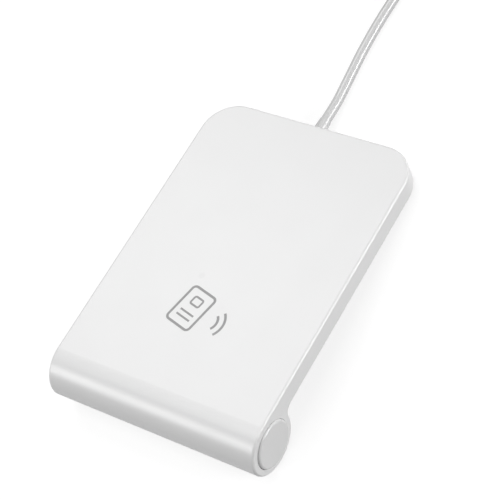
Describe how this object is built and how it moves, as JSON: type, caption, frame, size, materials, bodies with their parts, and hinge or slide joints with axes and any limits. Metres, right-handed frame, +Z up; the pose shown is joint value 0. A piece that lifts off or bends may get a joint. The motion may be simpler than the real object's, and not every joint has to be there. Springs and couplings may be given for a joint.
{
  "type": "smart card reader",
  "caption": "Flat desktop contactless card reader with a full-width round front edge and a USB lead.",
  "frame": {"origin": "middle of the reader's footprint, on the table that its feet stand on", "axes": "+X to the right along the round front edge as the user sees it, +Y to the rear where the lead leaves, +Z up"},
  "size_m": [0.0818, 0.2306, 0.0178],
  "materials": {
    "case_white": "satin white moulding, softly reflecting",
    "cap_white": "the same plastic as the case, a shade greyer",
    "screw_steel": "plain zinc plated steel",
    "foot_rubber": "dull grey rubber",
    "board_green": "solder mask over glass laminate",
    "copper": "thin copper under lacquer, and gilt contacts",
    "ferrite_grey": "dark ferrite",
    "chip_black": "black moulding compound",
    "can_metal": "nickel plated sheet",
    "ceramic_tan": "ceramic",
    "nylon_white": "natural nylon",
    "clear_guide": "clear polycarbonate",
    "wire_red": "insulated wire",
    "lead_white": "smooth flexible jacket with a soft sheen",
    "tie_black": "soft woven-look strap"
  },
  "bodies": {
    "root": {"top_cover": "case_white", "bottom_cover": "case_white", "end_cap_left": "cap_white", "end_cap_right": "cap_white", "cover_screws": "screw_steel", "front_feet": "foot_rubber", "rear_feet": "foot_rubber", "weight_bar": "screw_steel", "main_board": "board_green", "antenna_coil": "copper", "ferrite_sheet": "ferrite_grey", "reader_chip": "chip_black", "usb_chip": "chip_black", "clock_crystals": "can_metal", "voltage_regulator": "chip_black", "filter_inductors": "ferrite_grey", "chip_capacitors": "ceramic_tan", "status_led": "nylon_white", "light_guide": "clear_guide", "cable_header": "nylon_white", "cable_connector": "nylon_white", "lead_wires": "wire_red", "strain_relief": "lead_white", "usb_cable": "lead_white", "cable_coil": "lead_white", "cable_tie": "tie_black", "cable_tail": "lead_white", "plug_relief": "lead_white", "plug_grip": "lead_white", "plug_shell": "can_metal", "plug_tongue": "chip_black", "plug_contacts": "copper"}
  },
  "joints": []
}
